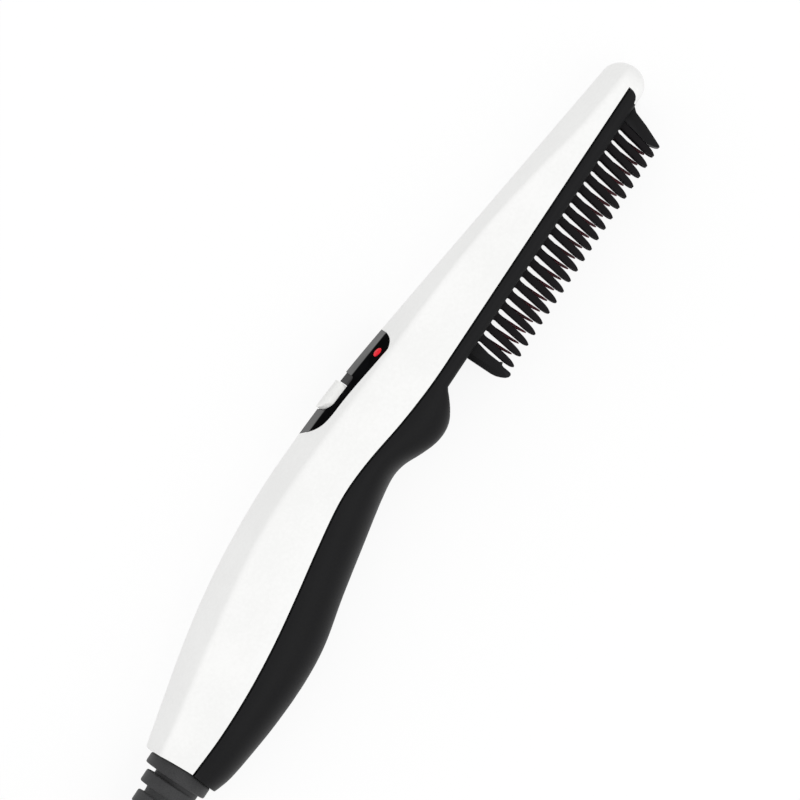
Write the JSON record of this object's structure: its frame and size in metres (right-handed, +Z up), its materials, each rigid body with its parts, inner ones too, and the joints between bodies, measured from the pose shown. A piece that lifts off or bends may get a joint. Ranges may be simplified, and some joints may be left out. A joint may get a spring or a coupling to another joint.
{
  "type": "hair straightening comb",
  "caption": "Slim mains hair straightening comb with a heated comb between guard combs, a slide switch, a lamp, a ribbed boot, and its cord in a tied hank with a plug.",
  "frame": {"origin": "middle of the underside of the box round the styler without its cord, where it lies on its side", "axes": "+X from the tail to the nose, +Y to the back with the switch, so the teeth point to -Y, +Z up"},
  "size_m": [0.5035, 0.0539, 0.0417],
  "materials": {
    "white_shell": "satin gloss, moulded",
    "black_shell": "satin, fine moulded grain",
    "panel_black": "high gloss",
    "knob_white": "satin gloss",
    "lamp_red": "clear red",
    "comb_black": "satin",
    "heated_coat": "dark red ceramic coat",
    "boot_rubber": "matte",
    "cord_jacket": "soft satin",
    "screw_steel": "zinc plated",
    "pin_brass": "bright, lightly worn",
    "board_green": "solder mask",
    "ceramic": "fired",
    "film_amber": "clear amber",
    "wire_brown": "smooth",
    "wire_blue": "smooth",
    "carrier_cream": "smooth"
  },
  "bodies": {
    "housing": {"top_shell": "white_shell", "bottom_shell": "black_shell", "cord_clamp": "black_shell", "plug_body": "black_shell", "rectifier_diode": "black_shell", "switch_panel": "panel_black", "indicator_window": "lamp_red", "indicator_led": "lamp_red", "side_comb_near": "comb_black", "side_comb_far": "comb_black", "heater_comb": "heated_coat", "strain_relief": "boot_rubber", "plug_sleeve": "boot_rubber", "mains_cord": "cord_jacket", "cord_hank": "cord_jacket", "cord_to_plug": "cord_jacket", "cord_tie": "cord_jacket", "cord_inner_end": "cord_jacket", "slide_switch": "screw_steel", "heater_clamp": "screw_steel", "case_screw_tail": "screw_steel", "case_screw_middle": "screw_steel", "case_screw_head": "screw_steel", "board_screw_tail": "screw_steel", "board_screw_tip": "screw_steel", "cord_clamp_screw_near": "screw_steel", "cord_clamp_screw_far": "screw_steel", "heater_screw_tail": "screw_steel", "heater_screw_tip": "screw_steel", "plug_pin_live": "pin_brass", "plug_pin_neutral": "pin_brass", "plug_pin_earth": "pin_brass", "circuit_board": "board_green", "ptc_heater": "ceramic", "thermal_fuse": "ceramic", "dropper_resistor": "ceramic", "plug_fuse": "ceramic", "insulating_film": "film_amber", "film_capacitor": "film_amber", "heater_lead_live": "wire_brown", "fuse_lead": "wire_brown", "mains_wire_live": "wire_brown", "heater_lead_neutral": "wire_blue", "mains_wire_neutral": "wire_blue", "fuse_carrier": "carrier_cream"},
    "slider": {"switch_knob": "knob_white", "switch_lever": "comb_black"}
  },
  "joints": [
    {"name": "switch_slide", "type": "slide", "parent": "housing", "child": "slider", "axis": [0.9969, -0.0788, 0], "range_m": [0, 0.0028]}
  ]
}
